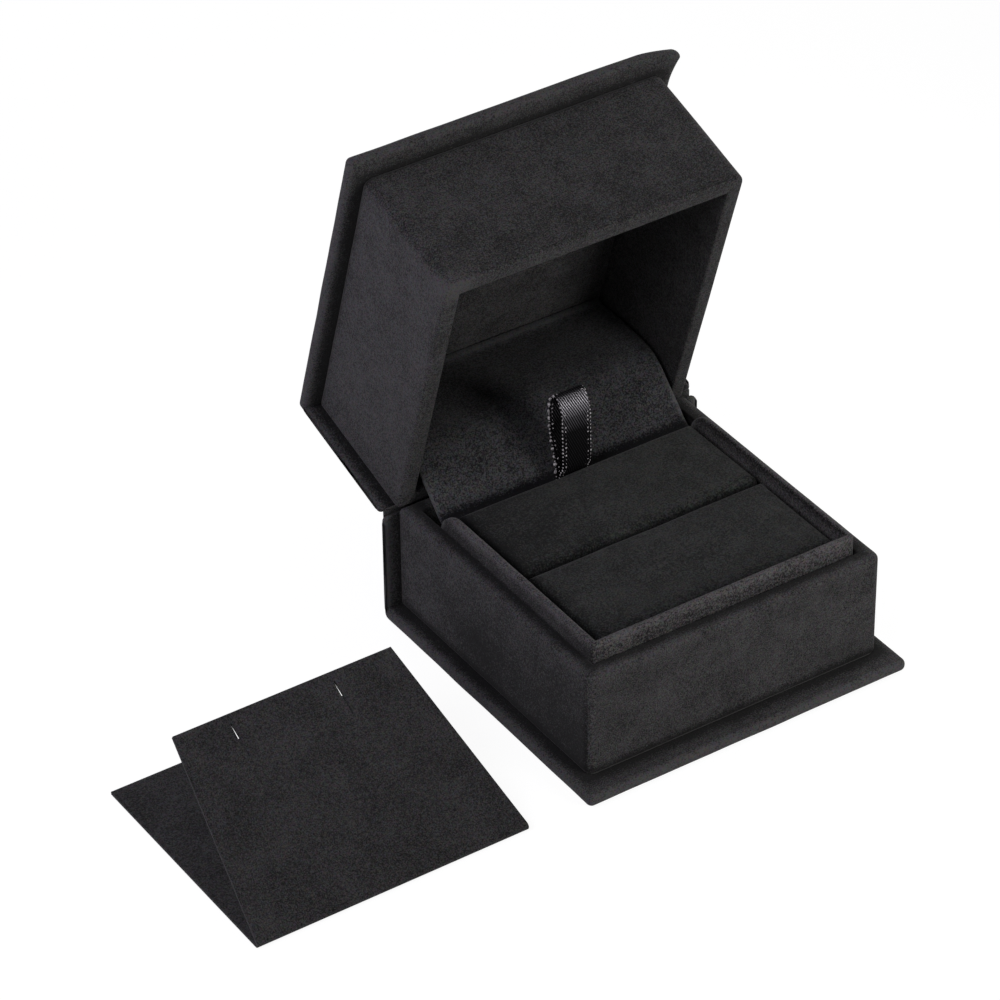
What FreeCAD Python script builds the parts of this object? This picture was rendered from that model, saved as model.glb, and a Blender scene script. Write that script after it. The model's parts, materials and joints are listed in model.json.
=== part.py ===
import FreeCAD, Part
import math
import os

# Hinged ring box, wrapped in suede cloth over greyboard, with a lift-out ring pad and
# a folded insert card for earrings or a pendant that lies beside it.
#
# Frame: millimetres, +Z up, the front of the box towards -Y, the origin at the middle
# of the base's underside. The lid's pieces are drawn in their closed place and then
# turned back about the hinge line, because the box is stored open.

# ---- materials in sheet form
case_board = 1.5            # greyboard of the base plate and the lid's plate
spine_card = 0.3            # thin card of the spine and the lid's back panel
wall_board = 2.2            # greyboard of the tray's and the lid's walls
neck_board = 0.4            # thin board of the neck
cloth = 0.45                # suede cloth, glued on
edge_round = 0.9            # softness of a wrapped board's edge
case_round = 0.5            # the same, of the case
corner_round = 1.8          # upright corners of the wrapped walls
neck_corner_round = 1.0     # upright front corners of the neck
turn_in = 8.0               # how far the cloth is turned over a hidden edge

# ---- case: base, spine and lid plates
case_width = 65.0
case_depth = 62.6
closed_height = 51.2
spine_height = 21.3
lid_back_gap = 3.1          # between the spine's top and the lid's back plate, closed
side_inset = 2.9            # plate edge to wall, left and right
front_lip = 4.4             # plate edge to wall, at the front

# ---- base tray and the neck that stands in it
ledge_height = 22.8         # top of the tray's walls
rim_gap = 0.15              # lid rim above the ledge, closed
floor_card = 0.8
neck_top = 26.35
neck_side_gap = 0.1         # lid wall to neck, closed, at the sides
neck_front_gap = 0.15       # the same, at the front
neck_back_gap = 4.2         # neck's back board to the tray's back wall
neck_skirt = 12.5           # how far the neck's cloth goes down outside
neck_back_height = 21.5
neck_rear_round = 5.0       # rounding of the side walls' rear top corners
liner_gap = 0.15            # neck's side walls to the liner

# ---- hinge
hinge_from_back = 1.7       # hinge line in front of the case's back face
hinge_height = 22.5
open_angle = 72.6

# ---- lid ceiling
ceiling_drop = 3.0          # plate's inside to the ceiling's face
ceiling_gap = 0.3           # ceiling panel to the lid's walls

# ---- ring pad
pad_fit = 0.8               # running gap to the neck
pad_top = 25.0
pad_back_gap = 1.35         # pad to liner, where the ribbon stands
pad_card = 1.0
ring_slot = 0.6
slot_back = 0.66            # slot behind the pad's middle

# ---- ribbon
ribbon_width = 6.5
ribbon_thickness = 0.3
ribbon_off_centre = -0.25
ribbon_top = 41.4
ribbon_bulge_front = 1.3    # how far the loop swells in front of the pad's back
ribbon_bulge_rear = 1.9     # and behind the rear strand's foot
ribbon_bulge_height = 35.5  # where it swells most at the rear
ribbon_swell = 12.0         # radius of the swelling
ribbon_tip_width = 2.7      # front to rear at the loop's top
ribbon_tip = 1.1            # radius of the turns there
ribbon_bend_height = 25.3
ribbon_bend_gap = 0.2
ribbon_back_gap = 0.25      # rear strand to liner
ribbon_foot = 5.0           # lower end, glued to the pad's back
ribbon_join = 8.5           # where the two strands meet

# ---- liner and outer hinge strip
liner_side_gap = 1.2        # liner's edges to the lid's side walls
liner_foot = 6.0
liner_rise = 0.8            # height of the bend over the neck's back board
liner_bend = 1.2            # radius there
liner_bow_back = 18.25      # middle of the slack bow, in front of the lid's far corner
liner_bow_rise = 1.05
liner_bow = 8.5             # radius of the bow
liner_end_rise = 1.4        # height of the liner's end over that corner
liner_lid_gap = 0.25        # liner's end to the lid's ceiling panel
hinge_strip_gap = 0.1       # hinge strip to the lid's back plate

# ---- insert card
insert_card = 0.6
insert_width = 51.4
insert_depth = 45.6         # lower leaf, from the fold
insert_leaf = 37.0          # upper leaf, from the fold
insert_taper = 4.95         # upper leaf's narrowing on each side
insert_angle = 28.0         # how far the upper leaf is raised
insert_centre_x = -69.2
insert_fold_y = -29.3
insert_crease = 0.15        # half the space between the leaves at the fold
slit_spacing = 19.6
slit_length = 6.4
slit_width = 0.3
slit_from_edge = 1.8
slit_shift = 1.0            # slits left of the leaf's middle

# ---- worked out from the sizes above
plate = case_board + 2 * cloth
spine_plate = spine_card + 2 * cloth
wall = wall_board + 2 * cloth
neck_wall = neck_board + 2 * cloth
half_width = case_width / 2
front = -case_depth / 2
back = case_depth / 2
wall_x = half_width - side_inset
wall_front = front + front_lip
wall_back = back - spine_plate
rim_height = ledge_height + rim_gap
lid_back_foot = spine_height + lid_back_gap
lid_plate_inside = closed_height - plate
neck_x = wall_x - wall - neck_side_gap
neck_front = wall_front + wall + neck_front_gap
floor_top = plate + floor_card
neck_back_front = wall_back - wall - neck_back_gap - neck_board
liner_front = neck_back_front - cloth
neck_side_end = liner_front - liner_gap
liner_half_width = wall_x - wall - liner_side_gap
hinge_y = back - hinge_from_back
pad_x = neck_x - neck_wall - pad_fit
pad_front = neck_front + neck_wall + pad_fit
pad_back = liner_front - pad_back_gap
ceiling = lid_plate_inside - ceiling_drop

parts = {}


def block(x0, x1, y0, y1, z0, z1):
    """A box between two corners."""
    return Part.makeBox(x1 - x0, y1 - y0, z1 - z0, FreeCAD.Vector(x0, y0, z0))


def across(half, y0, y1, z0, z1):
    """A box that runs the same distance left and right of the middle."""
    return block(-half, half, y0, y1, z0, z1)


def extruded(points, x0, x1):
    """A straight-sided outline in Y and Z, carried along X."""
    corners = [FreeCAD.Vector(x0, y, z) for y, z in points]
    face = Part.Face(Part.makePolygon(corners + corners[:1]))
    return face.extrude(FreeCAD.Vector(x1 - x0, 0, 0))


def ring_piece(y, z, inside, outside, start, end, x0, x1):
    """Part of a ring about a line along X, between two angles from +Y towards +Z."""
    def at(radius, angle):
        turn = math.radians(angle)
        return FreeCAD.Vector(x0, y + radius * math.cos(turn), z + radius * math.sin(turn))

    middle = (start + end) / 2
    edges = [
        Part.Arc(at(outside, start), at(outside, middle), at(outside, end)),
        Part.LineSegment(at(outside, end), at(inside, end)),
        Part.Arc(at(inside, end), at(inside, middle), at(inside, start)),
        Part.LineSegment(at(inside, start), at(outside, start)),
    ]
    face = Part.Face(Part.Wire([edge.toShape() for edge in edges]))
    return face.extrude(FreeCAD.Vector(x1 - x0, 0, 0))


def rounded_path(points, radii, x):
    """Straight runs through points in Y and Z, with an arc at each inner point."""
    corners = [FreeCAD.Vector(x, y, z) for y, z in points]
    start = corners[0]
    edges = []
    for before, corner, after, radius in zip(corners, corners[1:], corners[2:], radii):
        back_along = (before - corner).normalize()
        onward = (after - corner).normalize()
        reach = radius / math.tan(back_along.getAngle(onward) / 2)
        middle = (back_along + onward).normalize()
        to_centre = math.hypot(radius, reach)
        edges.append(Part.LineSegment(start, corner + back_along * reach))
        edges.append(Part.Arc(corner + back_along * reach,
                              corner + middle * (to_centre - radius),
                              corner + onward * reach))
        start = corner + onward * reach
    edges.append(Part.LineSegment(start, corners[-1]))
    return Part.Wire([edge.toShape() for edge in edges])


def runs_along(edge, axis):
    """Whether an edge is straight and parallel to an axis, 0 to 2 for X to Z."""
    if not isinstance(edge.Curve, Part.Line):
        return False
    return abs(abs(edge.tangentAt(edge.FirstParameter)[axis]) - 1) < 1e-6


def touches(edge, axis, values):
    """Whether an edge's middle lies at one of the values along an axis."""
    middle = edge.CenterOfMass[axis]
    return any(abs(middle - v) < 1e-4 for v in values)


def softened(shape, radius, wanted):
    """The shape with the wanted edges rounded."""
    return shape.makeFillet(radius, [e for e in shape.Edges if wanted(e)])


def opened(shape):
    """A lid piece turned from its closed place to its stored, open place."""
    turned = shape.copy()
    turned.rotate(FreeCAD.Vector(0, hinge_y, hinge_height), FreeCAD.Vector(-1, 0, 0), open_angle)
    return turned


def opened_point(y, z):
    """Where a point of the closed lid lies when the lid is open."""
    turn = math.radians(open_angle)
    dy, dz = y - hinge_y, z - hinge_height
    return (hinge_y + dy * math.cos(turn) + dz * math.sin(turn),
            hinge_height - dy * math.sin(turn) + dz * math.cos(turn))


def wrapped_plates(flat, upright, foot):
    """The cloth round two boards that meet at the case's back edge: the flat plate and
    the upright one, each a Y and Z range. foot is the upright plate's free end."""
    outer = across(half_width, front, back, *flat)
    outer = outer.fuse(across(half_width, wall_back, back, *upright)).removeSplitter()
    heights = (*flat, foot)
    ends = (-half_width, half_width)

    def outline(edge):
        if touches(edge, 0, ends):
            return not (touches(edge, 1, (wall_back,)) and runs_along(edge, 0))
        inside_corner = touches(edge, 1, (wall_back,)) and not touches(edge, 2, (foot,))
        return runs_along(edge, 0) and touches(edge, 2, heights) and not inside_corner

    return softened(outer, case_round, outline)


# ---------------------------------------------------------------- case, base half
parts["base_board"] = across(half_width - cloth, front + cloth, back - cloth,
                             cloth, cloth + case_board)
parts["spine_board"] = across(half_width - cloth, wall_back + cloth, back - cloth,
                              cloth + case_board, spine_height - cloth)

# The cloth covers both boards outside and is turned over their edges. The boards stay
# bare under the tray, which is glued there.
base_cloth = wrapped_plates((0, plate), (plate / 2, spine_height), spine_height)
base_bare = across(half_width - turn_in, front + turn_in, wall_back + cloth,
                   cloth + case_board, spine_height - turn_in)
parts["base_case_cloth"] = base_cloth.cut(
    [parts["base_board"], parts["spine_board"], base_bare])

# ---------------------------------------------------------------- case, lid half
lid_top_board = across(half_width - cloth, front + cloth, back - cloth,
                       closed_height - cloth - case_board, closed_height - cloth)
lid_back_board = across(half_width - cloth, wall_back + cloth, back - cloth,
                        lid_back_foot + cloth, closed_height - cloth - case_board)
lid_cloth_outer = wrapped_plates((lid_plate_inside, closed_height),
                                 (lid_back_foot, closed_height - plate / 2), lid_back_foot)
lid_bare = across(half_width - turn_in, front + turn_in, wall_back + cloth,
                  lid_back_foot + turn_in, lid_plate_inside + cloth)
parts["lid_top_board"] = opened(lid_top_board)
parts["lid_back_board"] = opened(lid_back_board)
parts["lid_case_cloth"] = opened(
    lid_cloth_outer.cut([lid_top_board, lid_back_board, lid_bare]))


# ---------------------------------------------------------------- walls of tray and lid
def wall_boards(x_out, y_front, y_back, z0, z1):
    """Four greyboard walls, the front and back ones between the two sides. The sides'
    outer corners are sanded round, so that the cloth turns them softly."""
    x_in = x_out - wall_board

    def side(x0, x1):
        return softened(block(x0, x1, y_front, y_back, z0, z1), corner_round - cloth,
                        lambda e: runs_along(e, 2) and touches(e, 0, (-x_out, x_out)))

    return {
        "left": side(-x_out, -x_in),
        "right": side(x_in, x_out),
        "front": across(x_in, y_front, y_front + wall_board, z0, z1),
        "back": across(x_in, y_back - wall_board, y_back, z0, z1),
    }


def wall_cloth(z_plate, z_rim, inside_depth):
    """Cloth over the four walls, from the plate to the rim and down the inside."""
    low, high = min(z_plate, z_rim), max(z_plate, z_rim)
    outer = across(wall_x, wall_front, wall_back, low, high)
    outer = softened(outer, corner_round,
                     lambda e: runs_along(e, 2) and touches(e, 1, (wall_front, wall_back)))
    outer = softened(outer, edge_round, lambda e: touches(e, 2, (z_rim,)))
    hole = across(wall_x - wall, wall_front + wall, wall_back - wall, low, high)
    slack = across(wall_x - wall + cloth, wall_front + wall - cloth,
                   wall_back - wall + cloth, low, high)
    if z_rim > z_plate:
        bare = (low, z_rim - inside_depth)
    else:
        bare = (z_rim + inside_depth, high)
    cut = [hole]
    if bare[1] - bare[0] > cloth:
        cut.append(slack.common(across(wall_x, wall_front, wall_back, *bare)))
    return outer.cut(cut)


tray_boards = wall_boards(wall_x - cloth, wall_front + cloth, wall_back - cloth,
                          plate, ledge_height - cloth)
for place, shape in tray_boards.items():
    parts["tray_board_" + place] = shape
parts["tray_cloth"] = wall_cloth(plate, ledge_height, turn_in).cut(list(tray_boards.values()))

lid_boards = wall_boards(wall_x - cloth, wall_front + cloth, wall_back - cloth,
                         rim_height + cloth, lid_plate_inside)
for place, shape in lid_boards.items():
    parts["lid_board_" + place] = opened(shape)
parts["lid_wall_cloth"] = opened(
    wall_cloth(lid_plate_inside, rim_height, closed_height).cut(list(lid_boards.values())))

# Ceiling panel: a card, wrapped in the same cloth and glued to the lid's top board.
panel_x = wall_x - wall - ceiling_gap
panel_front = wall_front + wall + ceiling_gap
panel_back = wall_back - wall - ceiling_gap
ceiling_card = across(panel_x - cloth, panel_front + cloth, panel_back - cloth,
                      ceiling + cloth, lid_plate_inside)
ceiling_outer = softened(across(panel_x, panel_front, panel_back, ceiling, lid_plate_inside),
                         edge_round / 2, lambda e: touches(e, 2, (ceiling,)))
parts["ceiling_card"] = opened(ceiling_card)
parts["ceiling_cloth"] = opened(ceiling_outer.cut(ceiling_card))

# ---------------------------------------------------------------- neck
parts["tray_floor_card"] = across(wall_x - wall, wall_front + wall, wall_back - wall,
                                  plate, floor_top)

neck_board_out = neck_x - cloth
neck_board_in = neck_board_out - neck_board
neck_board_front = neck_front + cloth
neck_board_top = neck_top - cloth


def rear_corner(radius):
    """What the rounding takes off the side walls' rear top corners."""
    middle_y = neck_side_end - neck_rear_round
    middle_z = neck_top - neck_rear_round
    square = across(half_width, middle_y, back, middle_z, neck_top + cloth)
    rod = Part.makeCylinder(radius, case_width, FreeCAD.Vector(-half_width, middle_y, middle_z),
                            FreeCAD.Vector(1, 0, 0))
    return square.cut(rod)


neck_boards = {
    "front": across(neck_board_in, neck_board_front, neck_board_front + neck_board,
                    floor_top, neck_board_top),
    "left": block(-neck_board_out, -neck_board_in, neck_board_front, neck_side_end,
                  floor_top, neck_board_top),
    "right": block(neck_board_in, neck_board_out, neck_board_front, neck_side_end,
                   floor_top, neck_board_top),
}
for place in ("left", "right"):
    neck_boards[place] = neck_boards[place].cut(rear_corner(neck_rear_round - cloth))
neck_outer = across(neck_x, neck_front, neck_side_end, floor_top, neck_top)
neck_outer = softened(neck_outer, neck_corner_round,
                      lambda e: runs_along(e, 2) and touches(e, 1, (neck_front,)))
neck_outer = softened(neck_outer, edge_round,
                      lambda e: touches(e, 2, (neck_top,)) and not touches(e, 1, (neck_side_end,)))
neck_outer = neck_outer.cut(rear_corner(neck_rear_round))
neck_hole = across(neck_x - neck_wall, neck_front + neck_wall, neck_side_end, floor_top, neck_top)
neck_bare = across(neck_x, neck_front, neck_side_end, floor_top, neck_top - neck_skirt)
neck_kept = across(neck_board_out, neck_board_front, neck_side_end, floor_top, neck_top)
parts["neck_cloth"] = neck_outer.cut([neck_hole, neck_bare.cut(neck_kept)]
                                     + list(neck_boards.values()))
neck_boards["back"] = across(neck_x, neck_back_front, neck_back_front + neck_board,
                             floor_top, neck_back_height)
for place, shape in neck_boards.items():
    parts["neck_board_" + place] = shape

# ---------------------------------------------------------------- ring pad
slot_y = (pad_front + pad_back) / 2 + slot_back
pad_floor = floor_top + pad_card
parts["pad_card"] = across(pad_x, pad_front, pad_back, floor_top, pad_floor)
pad_halves = {
    "front": (pad_front, slot_y - ring_slot / 2),
    "rear": (slot_y + ring_slot / 2, pad_back),
}
for place, (y0, y1) in pad_halves.items():
    foam = across(pad_x - cloth, y0 + cloth, y1 - cloth, pad_floor, pad_top - cloth)
    skin = softened(across(pad_x, y0, y1, pad_floor, pad_top), edge_round,
                    lambda e: touches(e, 2, (pad_top,)))
    parts["pad_foam_" + place] = foam
    parts["pad_cloth_" + place] = skin.cut(foam)

# ---------------------------------------------------------------- ribbon
ribbon_x0 = ribbon_off_centre - ribbon_width / 2
ribbon_x1 = ribbon_off_centre + ribbon_width / 2
strand_front = pad_back
strand_rear = liner_front - ribbon_back_gap
ribbon_bend_y = (strand_front + strand_rear) / 2

# Below the bend the two strands run down behind the pad and are glued to it.
tail_top = ribbon_bend_height - ribbon_bend_gap / 2
front_inside = strand_front + ribbon_thickness
rear_inside = strand_rear - ribbon_thickness
spread = strand_rear - strand_front
parts["ribbon_tail"] = extruded([
    (strand_front, ribbon_foot),
    (front_inside + ribbon_thickness, ribbon_foot),
    (front_inside + ribbon_thickness, ribbon_foot + ribbon_thickness),
    (strand_rear, ribbon_join + spread),
    (strand_rear, tail_top),
    (rear_inside, tail_top),
    (rear_inside, ribbon_join + spread),
    (front_inside, ribbon_join),
    (front_inside, tail_top),
    (strand_front, tail_top),
], ribbon_x0, ribbon_x1)

# Above it they stand up as one loop, which swells to the front and the rear. The path is
# the ribbon's inner face.
loop_foot = ribbon_bend_height + ribbon_bend_gap / 2
bulge_front = front_inside - ribbon_bulge_front
bulge_rear = rear_inside + ribbon_bulge_rear
loop_path = rounded_path([
    (front_inside, loop_foot),
    (bulge_front, ribbon_bulge_height),
    (bulge_front, ribbon_top - ribbon_thickness),
    (bulge_front + ribbon_tip_width, ribbon_top - ribbon_thickness),
    (bulge_rear, ribbon_bulge_height),
    (rear_inside, loop_foot),
], [ribbon_swell, ribbon_tip, ribbon_tip, ribbon_swell], ribbon_x0)
loop_face = loop_path.makeOffset2D(-ribbon_thickness, fill=True, openResult=True)
parts["ribbon_loop"] = loop_face.extrude(FreeCAD.Vector(ribbon_width, 0, 0))

# ---------------------------------------------------------------- liner and hinge strip
# The liner is glued down the front of the neck's back board and runs over it, in a
# slack bow, to the corner between the lid's rear wall and its ceiling.
lid_corner = opened_point(wall_back - wall, ceiling)
liner_path = rounded_path([
    (liner_front, liner_foot),
    (liner_front, neck_back_height + liner_rise),
    (lid_corner[0] - liner_bow_back, lid_corner[1] + liner_bow_rise),
    (lid_corner[0] - ceiling_gap - liner_lid_gap, lid_corner[1] + liner_end_rise),
], [liner_bend, liner_bow], -liner_half_width)
liner_face = liner_path.makeOffset2D(cloth, fill=True, openResult=True)
parts["hinge_liner"] = liner_face.extrude(FreeCAD.Vector(2 * liner_half_width, 0, 0))

# The hinge strip closes the joint between the spine's top and the lid's back plate.
strip_back = back - case_round - hinge_strip_gap
foot_inside = opened_point(back - case_round - cloth, lid_back_foot)
foot_outside = opened_point(back - case_round, lid_back_foot)
parts["hinge_strip"] = extruded([
    (strip_back - cloth, spine_height),
    (strip_back, spine_height),
    (strip_back, foot_outside[1] - hinge_strip_gap),
    (foot_outside[0] - hinge_strip_gap, foot_outside[1]),
    (foot_inside[0] - hinge_strip_gap, foot_inside[1]),
    (strip_back - cloth, foot_inside[1] - hinge_strip_gap),
], -half_width + edge_round, half_width - edge_round)

# ---------------------------------------------------------------- insert card
leaf_low = insert_card + insert_crease      # height of the fold's centre line
insert_x0 = insert_centre_x - insert_width / 2
insert_x1 = insert_centre_x + insert_width / 2
parts["insert_leaf_lower"] = block(insert_x0, insert_x1, insert_fold_y,
                                   insert_fold_y + insert_depth, 0, insert_card)


def raised(shape):
    """A piece of the upper leaf, turned up about the fold."""
    turned = shape.copy()
    turned.rotate(FreeCAD.Vector(0, insert_fold_y, leaf_low), FreeCAD.Vector(1, 0, 0), insert_angle)
    return turned


leaf_end = insert_fold_y + insert_leaf
outline = [
    (insert_x0, insert_fold_y),
    (insert_x1, insert_fold_y),
    (insert_x1 - insert_taper, leaf_end),
    (insert_x0 + insert_taper, leaf_end),
]
leaf_bottom = leaf_low + insert_crease
corners = [FreeCAD.Vector(x, y, leaf_bottom) for x, y in outline]
leaf = Part.Face(Part.makePolygon(corners + corners[:1]))
leaf = leaf.extrude(FreeCAD.Vector(0, 0, insert_card))
slit_end = leaf_end - slit_from_edge
slit_centre_x = insert_centre_x - slit_shift
slits = [block(x - slit_width / 2, x + slit_width / 2, slit_end - slit_length, slit_end,
               leaf_bottom - insert_card, leaf_bottom + 2 * insert_card)
         for x in (slit_centre_x - slit_spacing / 2, slit_centre_x + slit_spacing / 2)]
parts["insert_leaf_upper"] = raised(leaf.cut(slits))

# The fold joins the leaves round the front as part of a ring.
parts["insert_fold"] = ring_piece(insert_fold_y, leaf_low, insert_crease,
                                  insert_crease + insert_card, 90 + insert_angle, 270,
                                  insert_x0, insert_x1)

os.makedirs("parts", exist_ok=True)
for name, shape in sorted(parts.items()):
    if not shape.isValid():
        print("not valid:", name)
    shape.exportStep(os.path.join("parts", name + ".step"))
    print(name, len(shape.Solids), round(shape.Volume, 2))
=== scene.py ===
import json
import math

import bmesh
import bpy
from mathutils import Matrix, Vector, noise


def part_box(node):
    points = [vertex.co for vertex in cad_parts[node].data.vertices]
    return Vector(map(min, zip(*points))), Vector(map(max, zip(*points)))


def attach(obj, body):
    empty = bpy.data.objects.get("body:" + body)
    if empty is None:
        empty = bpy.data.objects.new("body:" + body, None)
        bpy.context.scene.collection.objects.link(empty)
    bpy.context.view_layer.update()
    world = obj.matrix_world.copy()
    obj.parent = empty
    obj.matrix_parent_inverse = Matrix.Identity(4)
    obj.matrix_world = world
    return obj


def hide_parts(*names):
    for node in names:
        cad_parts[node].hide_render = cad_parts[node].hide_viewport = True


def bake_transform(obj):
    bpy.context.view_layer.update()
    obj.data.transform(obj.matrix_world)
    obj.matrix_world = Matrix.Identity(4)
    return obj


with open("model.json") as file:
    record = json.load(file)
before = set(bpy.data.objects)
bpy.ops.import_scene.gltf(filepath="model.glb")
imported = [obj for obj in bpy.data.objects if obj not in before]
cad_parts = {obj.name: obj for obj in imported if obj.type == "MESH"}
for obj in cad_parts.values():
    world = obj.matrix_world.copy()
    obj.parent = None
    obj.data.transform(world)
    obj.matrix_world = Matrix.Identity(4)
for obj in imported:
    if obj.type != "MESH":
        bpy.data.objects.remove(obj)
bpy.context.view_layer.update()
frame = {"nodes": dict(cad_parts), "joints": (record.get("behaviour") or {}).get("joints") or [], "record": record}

MM = 0.001

# ---------------------------------------------------------------- case, base half
# The base plate and the spine are two greyboards in one piece of black microfibre suede,
# glued down and turned over the edges, so that every edge is round and a little uneven.
# Split microfibres give a matt, dark surface with fine light and dark grain.


def linear(colour):
    """An sRGB hex colour as the linear colour that a socket takes."""
    parts = [int(colour[i:i + 2], 16) / 255 for i in (1, 3, 5)]
    return [p / 12.92 if p <= 0.04045 else ((p + 0.055) / 1.055) ** 2.4 for p in parts] + [1.0]


def add_node(tree, kind, inputs, **settings):
    """Adds a node with its settings; an input is a value, or an output to link from."""
    node = tree.nodes.new(kind)
    for setting, value in settings.items():
        setattr(node, setting, value)
    for socket, value in inputs.items():
        if isinstance(value, bpy.types.NodeSocket):
            tree.links.new(value, node.inputs[socket])
        else:
            node.inputs[socket].default_value = value
    return node


def new_material(name):
    """A material, its node tree, its shader and the place on the object that it colours."""
    material = bpy.data.materials.new(name)
    material.use_nodes = True
    tree = material.node_tree
    place = add_node(tree, "ShaderNodeTexCoord", {}).outputs["Object"]
    return material, tree, tree.nodes["Principled BSDF"], place


def per_metre(millimetres):
    """The scale of a noise whose features are that large."""
    return 1000 / millimetres


def cloudy(tree, place, size, detail=2.0, roughness=0.5):
    """A soft, uneven pattern. size is that of its features in mm."""
    return add_node(tree, "ShaderNodeTexNoise", {
        "Vector": place, "Scale": per_metre(size), "Detail": detail, "Roughness": roughness})


def tint(tree, factor, dark, light):
    """A colour between two hex ones, by a factor from 0 to 1."""
    return add_node(tree, "ShaderNodeMix", {
        "Factor": factor, 6: linear(dark), 7: linear(light)}, data_type="RGBA").outputs[2]


def emboss(tree, shader, height, strength, depth):
    """Raises a shader's surface where a pattern is high. depth is in mm."""
    bump = add_node(tree, "ShaderNodeBump", {
        "Height": height, "Strength": strength, "Distance": depth * MM})
    tree.links.new(bump.outputs["Normal"], shader.inputs["Normal"])


def suede(name, dark, light, grain=0.24, nap=5.0, mottle=0.16, sheen=0.08, relief=0.05):
    """Microfibre suede. grain and nap are the sizes of its fine and broad patterns and
    relief is the height of its fibres, in mm. mottle is how much the broad one shows."""
    material, tree, shader, place = new_material(name)
    fibres = cloudy(tree, place, grain, roughness=0.8).outputs["Fac"]
    tufts = cloudy(tree, place, grain * 3, roughness=0.6)
    broad_reach = cloudy(tree, place, nap, roughness=0.6)
    flecks = cloudy(tree, place, grain * 2, detail=0.0)
    grain_level = add_node(tree, "ShaderNodeMapRange", {
        "Value": fibres, "From Min": 0.37, "From Max": 0.63}, clamp=False)
    changes = []
    for pattern, strength in ((tufts, 0.16), (broad_reach, mottle)):
        shift = add_node(tree, "ShaderNodeMapRange", {
            "Value": pattern.outputs["Fac"], "From Min": 0.3, "From Max": 0.7,
            "To Min": -strength, "To Max": strength})
        changes.append(shift.outputs["Result"])
    # The mesh carries painted light and shade: painted highlights where edges and tops catch the light, painted
    # shade in grooves, creases and faces that get less light.
    painted_shading = add_node(tree, "ShaderNodeAttribute", {}, attribute_name="painted_shading")
    changes.append(painted_shading.outputs["Fac"])
    level = grain_level.outputs["Result"]
    for change in changes:
        level = add_node(tree, "ShaderNodeMath", {0: level, 1: change},
                         operation="ADD").outputs[0]
    # Single fibres catch a warm or a cool light, which shows as a faint speckle of colour.
    speckle = add_node(tree, "ShaderNodeMix", {
        "Factor": 0.25, 6: tint(tree, level, dark, light), 7: flecks.outputs["Color"]},
        data_type="RGBA", blend_type="OVERLAY")
    tree.links.new(speckle.outputs[2], shader.inputs["Base Color"])
    emboss(tree, shader, fibres, strength=0.5, depth=relief)
    shader.inputs["Roughness"].default_value = 0.95
    shader.inputs["Specular IOR Level"].default_value = 0.05
    shader.inputs["Sheen Weight"].default_value = sheen
    shader.inputs["Sheen Roughness"].default_value = 0.55
    return material


def outline(corners, radii, inset=0.0, spacing=1.0 * MM, closed=True, count_by=None):
    """Points along a polygon with rounded corners, moved inwards by inset. The corners run
    anticlockwise; an open outline keeps its two ends square. count_by is a similar polygon
    that has as many points as this one is to have. Sizes in metres."""
    count = len(corners)
    arc_steps = 7
    points = []
    corners = [Vector(c) for c in corners]
    sides = [Vector(c) for c in count_by or corners]
    inner = []
    for i, here in enumerate(corners):
        before = corners[i - 1] if closed or i else None
        after = corners[(i + 1) % count] if closed or i < count - 1 else None
        along = (here - before).normalized() if before else (after - here).normalized()
        onward = (after - here).normalized() if after else along
        side = Vector((-along.y, along.x))
        next_side = Vector((-onward.y, onward.x))
        corner = here + (side + next_side) * (inset / (1 + side.dot(next_side)))
        turn = math.atan2(along.cross(onward), along.dot(onward))
        radius = radii[i] - inset if turn > 0 else radii[i] + inset
        inner.append((corner, along, onward, turn, max(radius, 0.0)))
    for i, (corner, along, onward, turn, radius) in enumerate(inner):
        if radii[i] > 0:
            reach = radius * math.tan(abs(turn) / 2)
            side = Vector((-along.y, along.x)) * math.copysign(1, turn)
            centre = corner - along * reach + side * radius
            for k in range(arc_steps + 1):
                part = turn * k / arc_steps
                points.append(centre + Matrix.Rotation(part, 2) @ (-side * radius))
        else:
            points.append(corner.copy())
        if closed or i < count - 1:
            following = inner[(i + 1) % count]
            gap = following[4] * math.tan(abs(following[3]) / 2) if radii[(i + 1) % count] else 0
            end = following[0] - onward * gap
            start = points[-1]
            side = sides[(i + 1) % count] - sides[i]
            pieces = max(1, round(side.length / spacing))
            points += [start.lerp(end, k / pieces) for k in range(1, pieces)]
    return points


def shell(name, rows, through=False):
    """A closed skin through rows of points, each of which closes on itself. With through,
    the last row meets the first; without it, the first and the last row are filled."""
    work = bmesh.new()
    grid = [[work.verts.new(p) for p in row] for row in rows]
    size = len(grid[0])
    for i in range(len(grid) if through else len(grid) - 1):
        row, following = grid[i], grid[(i + 1) % len(grid)]
        for j in range(size):
            k = (j + 1) % size
            work.faces.new((row[j], row[k], following[k], following[j]))
    if not through:
        work.faces.new(list(reversed(grid[0])))
        work.faces.new(grid[-1])
    bmesh.ops.remove_doubles(work, verts=work.verts, dist=1e-7)
    bmesh.ops.recalc_face_normals(work, faces=work.faces)
    for face in work.faces:
        face.smooth = True
    mesh = bpy.data.meshes.new(name)
    work.to_mesh(mesh)
    work.free()
    piece = bpy.data.objects.new(name, mesh)
    bpy.context.scene.collection.objects.link(piece)
    return piece


def rectangle(low, high):
    """The corners of a box's plan, anticlockwise from the front left."""
    return [(low.x, low.y), (high.x, low.y), (high.x, high.y), (low.x, high.y)]


def level_row(plan, corner, height, inset=0.0):
    """A level row of points round a plan whose corners have one radius. Sizes in metres."""
    return [Vector((p.x, p.y, height)) for p in outline(plan, [corner] * len(plan), inset)]


# Vector noise starts from the clock unless it is seeded. With a fixed seed, the cloth is
# uneven in the same way in each run.
noise.seed_set(1)


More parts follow.
